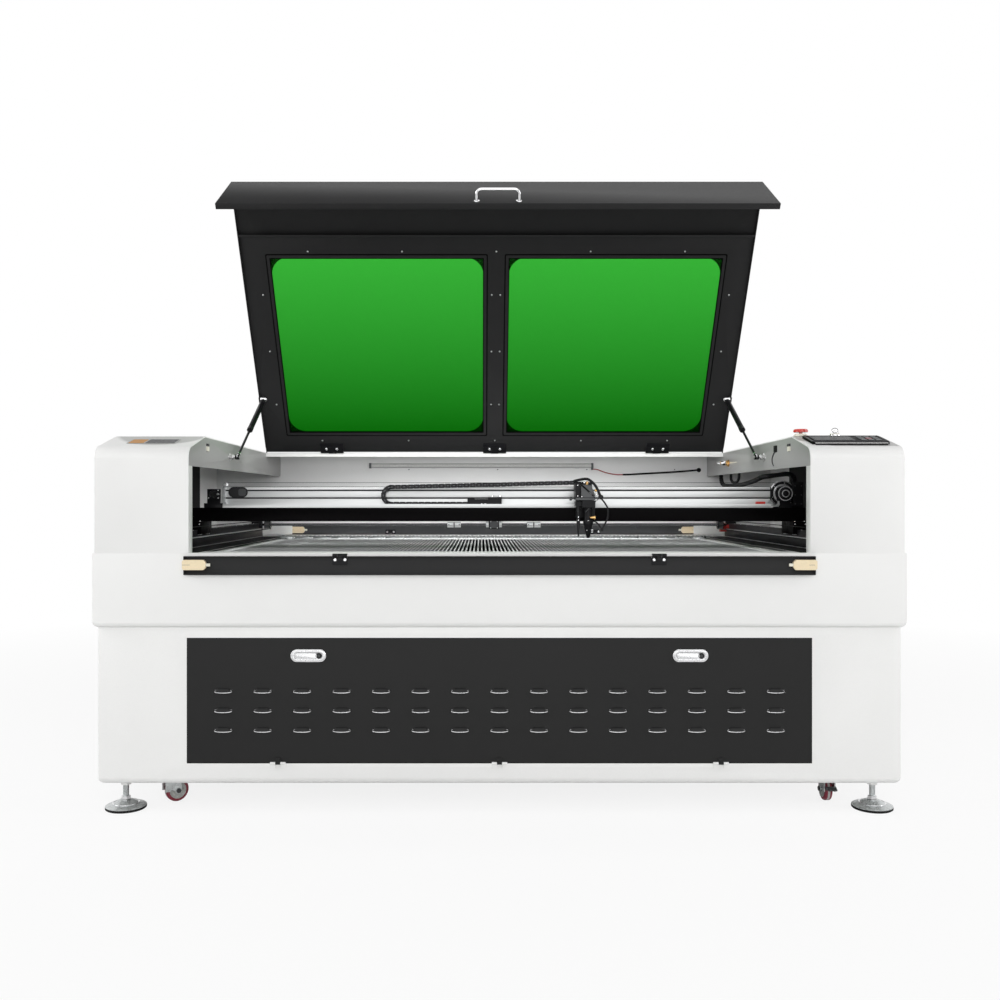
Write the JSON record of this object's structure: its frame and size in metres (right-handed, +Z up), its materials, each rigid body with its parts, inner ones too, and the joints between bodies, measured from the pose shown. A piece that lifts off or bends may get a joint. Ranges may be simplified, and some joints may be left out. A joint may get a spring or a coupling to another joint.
{
  "type": "laser engraving machine",
  "caption": "Free-standing flatbed laser engraving machine with a glazed lid, travelling beam and head, pass-through flaps, vented cabinet door, casters and levelling feet.",
  "frame": {"origin": "centre of the machine's footprint, on the floor under the levelling feet", "axes": "+X to the operator's right, +Y from the front face to the rear, +Z up"},
  "size_m": [2.2, 1.5267, 1.851],
  "materials": {
    "white_paint": "satin powder coat",
    "grey_paint": "satin powder coat",
    "black_paint": "textured powder coat",
    "aluminium": "brushed",
    "zinc": "zinc plated",
    "bright_metal": "polished",
    "black_metal": "anodised",
    "black_plastic": "matt",
    "panel_plastic": "satin",
    "green_acrylic": "polished",
    "beige_plastic": "matt",
    "red_plastic": "satin",
    "switch_trim": "satin",
    "lamp_white": "satin",
    "red_wire": "matt",
    "clear_glass": "polished",
    "tread": "matt"
  },
  "bodies": {
    "machine": {"base_cabinet": "white_paint", "mid_body": "white_paint", "left_housing": "white_paint", "right_housing": "white_paint", "rear_housing": "white_paint", "side_cheeks": "grey_paint", "rear_wall": "grey_paint", "bed_frame": "zinc", "honeycomb_bed": "aluminium", "y_rails": "aluminium", "control_panel": "panel_plastic", "switch_bases": "switch_trim", "led_lamp": "lamp_white", "lamp_lead": "red_wire", "laser_tube": "clear_glass", "electronics": "black_plastic", "exhaust_outlet": "zinc", "wall_fittings": "switch_trim", "y_motor": "black_plastic"},
    "lid": {"lid_shell": "black_paint", "lid_frame": "black_paint", "lid_windows": "green_acrylic", "lid_handle": "bright_metal", "lid_hinges": "black_metal"},
    "left_rod": {"left_strut_rod": "zinc"},
    "left_tube": {"left_strut_tube": "black_metal"},
    "right_rod": {"right_strut_rod": "zinc"},
    "right_tube": {"right_strut_tube": "black_metal"},
    "front_flap_body": {"front_flap": "black_paint", "front_flap_catches": "beige_plastic"},
    "rear_flap_body": {"rear_flap": "black_paint", "rear_flap_catches": "beige_plastic"},
    "door": {"cabinet_door": "black_paint", "latch_bodies": "bright_metal"},
    "left_latch": {"left_latch_paddle": "bright_metal"},
    "right_latch": {"right_latch_paddle": "bright_metal"},
    "gantry": {"gantry_rail": "aluminium", "gantry_beam": "black_paint", "mirror_mount": "black_metal", "x_motor": "black_plastic", "drag_chain": "black_plastic", "gantry_harness": "black_plastic"},
    "head": {"carriage": "black_metal"},
    "lens": {"lens_tube": "black_metal"},
    "pen": {"focus_pen": "black_plastic"},
    "shaft": {"drive_shaft": "aluminium"},
    "estop": {"estop_button": "red_plastic"},
    "key": {"switch_key": "bright_metal"},
    "caster_1": {"caster_fork_1": "zinc"},
    "wheel_1": {"caster_wheel_1": "tread"},
    "foot_body_1": {"foot_1": "zinc"},
    "caster_2": {"caster_fork_2": "zinc"},
    "wheel_2": {"caster_wheel_2": "tread"},
    "foot_body_2": {"foot_2": "zinc"},
    "caster_3": {"caster_fork_3": "zinc"},
    "wheel_3": {"caster_wheel_3": "tread"},
    "foot_body_3": {"foot_3": "zinc"},
    "caster_4": {"caster_fork_4": "zinc"},
    "wheel_4": {"caster_wheel_4": "tread"},
    "foot_body_4": {"foot_4": "zinc"}
  },
  "joints": [
    {"name": "lid_hinge", "type": "hinge", "parent": "machine", "child": "lid", "pos_m": [0, 0.233, 1.024], "axis": [1, 0, 0], "range_deg": [0, 58.7]},
    {"name": "left_strut_swing", "type": "hinge", "parent": "machine", "child": "left_rod", "pos_m": [-0.815, -0.305, 0.985], "axis": [1, 0, 0], "range_deg": [-29.66, 0.2]},
    {"name": "left_strut_stroke", "type": "slide", "parent": "left_rod", "child": "left_tube", "axis": [0, 0.8684, 0.4959], "range_m": [-0.1391, 0.0005]},
    {"name": "right_strut_swing", "type": "hinge", "parent": "machine", "child": "right_rod", "pos_m": [0.815, -0.305, 0.985], "axis": [1, 0, 0], "range_deg": [-29.66, 0.2]},
    {"name": "right_strut_stroke", "type": "slide", "parent": "right_rod", "child": "right_tube", "axis": [0, 0.8684, 0.4959], "range_m": [-0.1391, 0.0005]},
    {"name": "front_flap_hinge", "type": "hinge", "parent": "machine", "child": "front_flap_body", "pos_m": [0, -0.757, 0.7], "axis": [1, 0, 0], "range_deg": [-180, 0]},
    {"name": "rear_flap_hinge", "type": "hinge", "parent": "machine", "child": "rear_flap_body", "pos_m": [0, 0.757, 0.7], "axis": [1, 0, 0], "range_deg": [-180, 0]},
    {"name": "door_hinge", "type": "hinge", "parent": "machine", "child": "door", "pos_m": [0, -0.7421, 0.137], "axis": [1, 0, 0], "range_deg": [0, 95]},
    {"name": "left_latch_pull", "type": "hinge", "parent": "door", "child": "left_latch", "pos_m": [-0.554, -0.7425, 0.428], "axis": [0, 0, 1], "range_deg": [-60, 0]},
    {"name": "right_latch_pull", "type": "hinge", "parent": "door", "child": "right_latch", "pos_m": [0.482, -0.7425, 0.428], "axis": [0, 0, 1], "range_deg": [-60, 0]},
    {"name": "gantry_travel", "type": "slide", "parent": "machine", "child": "gantry", "axis": [0, 1, 0], "range_m": [-0.28, 0.72], "deforming": ["gantry_harness"]},
    {"name": "shaft_turn", "type": "hinge", "parent": "machine", "child": "shaft", "pos_m": [0, 0.43, 0.755], "axis": [1, 0, 0], "range_deg": [-2600, 1020]},
    {"name": "head_travel", "type": "slide", "parent": "gantry", "child": "head", "axis": [1, 0, 0], "range_m": [-1.077, 0.523], "deforming": ["drag_chain"]},
    {"name": "lens_focus", "type": "slide", "parent": "head", "child": "lens", "axis": [0, 0, 1], "range_m": [-0.006, 0.03]},
    {"name": "pen_travel", "type": "slide", "parent": "head", "child": "pen", "axis": [0, 0, 1], "range_m": [0, 0.01], "stiffness_N_per_m": 60, "springref_m": -0.01},
    {"name": "estop_press", "type": "slide", "parent": "machine", "child": "estop", "axis": [0, 0, 1], "range_m": [-0.004, 0], "stiffness_N_per_m": 600, "springref_m": 0.003},
    {"name": "key_turn", "type": "hinge", "parent": "machine", "child": "key", "pos_m": [0.968, -0.57, 1.04], "axis": [0, 0, 1], "range_deg": [0, 90]},
    {"name": "caster_swivel_1", "type": "hinge", "parent": "machine", "child": "caster_1", "pos_m": [-0.925, -0.638, 0.07], "axis": [0, 0, 1], "continuous": true},
    {"name": "wheel_spin_1", "type": "hinge", "parent": "caster_1", "child": "wheel_1", "pos_m": [-0.90862, -0.62653, 0.034], "axis": [-0.5736, 0.8192, 0], "continuous": true},
    {"name": "foot_screw_1", "type": "slide", "parent": "machine", "child": "foot_body_1", "axis": [0, 0, 1], "range_m": [-0.02, 0]},
    {"name": "caster_swivel_2", "type": "hinge", "parent": "machine", "child": "caster_2", "pos_m": [0.925, -0.638, 0.07], "axis": [0, 0, 1], "continuous": true},
    {"name": "wheel_spin_2", "type": "hinge", "parent": "caster_2", "child": "wheel_2", "pos_m": [0.925, -0.618, 0.034], "axis": [-1, 0, 0], "continuous": true},
    {"name": "foot_screw_2", "type": "slide", "parent": "machine", "child": "foot_body_2", "axis": [0, 0, 1], "range_m": [-0.02, 0]},
    {"name": "caster_swivel_3", "type": "hinge", "parent": "machine", "child": "caster_3", "pos_m": [-0.925, 0.638, 0.07], "axis": [0, 0, 1], "continuous": true},
    {"name": "wheel_spin_3", "type": "hinge", "parent": "caster_3", "child": "wheel_3", "pos_m": [-0.90621, 0.63116, 0.034], "axis": [0.342, 0.9397, 0], "continuous": true},
    {"name": "foot_screw_3", "type": "slide", "parent": "machine", "child": "foot_body_3", "axis": [0, 0, 1], "range_m": [-0.02, 0]},
    {"name": "caster_swivel_4", "type": "hinge", "parent": "machine", "child": "caster_4", "pos_m": [0.925, 0.638, 0.07], "axis": [0, 0, 1], "continuous": true},
    {"name": "wheel_spin_4", "type": "hinge", "parent": "caster_4", "child": "wheel_4", "pos_m": [0.94432, 0.64318, 0.034], "axis": [-0.2588, 0.9659, 0], "continuous": true},
    {"name": "foot_screw_4", "type": "slide", "parent": "machine", "child": "foot_body_4", "axis": [0, 0, 1], "range_m": [-0.02, 0]}
  ],
  "couplings": [
    {"joint": "left_strut_swing", "follows": "lid_hinge", "ratio": -0.5018},
    {"joint": "left_strut_stroke", "follows": "lid_hinge", "m_per_rad": -0.1353},
    {"joint": "right_strut_swing", "follows": "lid_hinge", "ratio": -0.5018},
    {"joint": "right_strut_stroke", "follows": "lid_hinge", "m_per_rad": -0.1353},
    {"joint": "shaft_turn", "follows": "gantry_travel", "rad_per_m": -62.5}
  ]
}
